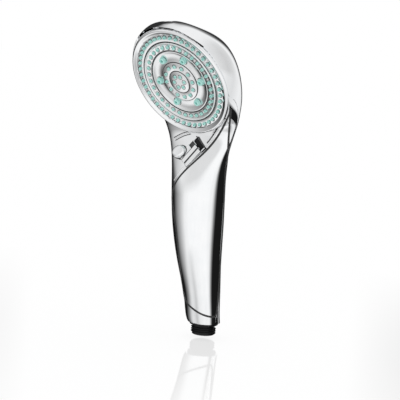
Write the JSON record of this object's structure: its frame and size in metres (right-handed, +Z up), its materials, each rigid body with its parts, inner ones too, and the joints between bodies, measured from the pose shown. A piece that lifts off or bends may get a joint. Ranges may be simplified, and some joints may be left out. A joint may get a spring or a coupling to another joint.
{
  "type": "handheld shower head",
  "caption": "Chrome handheld shower head with a tilted round spray face of soft nozzles, a leaf-shaped grip cover, a thumb slider that picks the spray and a threaded hose inlet.",
  "frame": {"origin": "centre of the open end of the hose inlet's thread", "axes": "+Z up the thread's axis towards the head, -Y the side that the spray leaves from, +X to the right seen from that side"},
  "size_m": [0.1002, 0.0931, 0.2604],
  "materials": {
    "chrome_body": "polished chrome plating on plastic",
    "chrome_cover": "polished chrome plating on plastic",
    "chrome_trim": "polished chrome plating on plastic",
    "face_silver": "pale silver gloss",
    "silicone": "soft pale green silicone",
    "inner_plastic": "plain moulded",
    "valve_plastic": "plain moulded",
    "seal_rubber": "matt",
    "screw_steel": "plain",
    "black_plastic": "moulded black"
  },
  "bodies": {
    "handset": {"rear_shell": "chrome_body", "front_shell": "chrome_body", "wrap_cover": "chrome_cover", "bezel_ring": "chrome_trim", "face_plate": "face_silver", "outer_nozzles": "silicone", "middle_nozzles": "silicone", "jet_nozzles": "silicone", "inner_nozzles": "silicone", "centre_nozzles": "silicone", "spray_manifold": "inner_plastic", "manifold_cover": "inner_plastic", "manifold_seal": "seal_rubber", "manifold_screws": "screw_steel", "valve_body": "valve_plastic", "valve_screws": "screw_steel", "outlet_seals": "seal_rubber", "supply_tube": "inner_plastic", "supply_seals": "seal_rubber", "inlet_connector": "black_plastic", "connector_seal": "seal_rubber", "flow_regulator": "valve_plastic", "inlet_filter": "screw_steel"},
    "selector": {"selector_slider": "chrome_trim", "slide_pin": "screw_steel", "valve_spool": "valve_plastic", "spool_seals": "seal_rubber"}
  },
  "joints": [
    {"name": "spray_slide", "type": "slide", "parent": "handset", "child": "selector", "axis": [0.6018, 0.1524, 0.784], "range_m": [0, 0.004]}
  ]
}
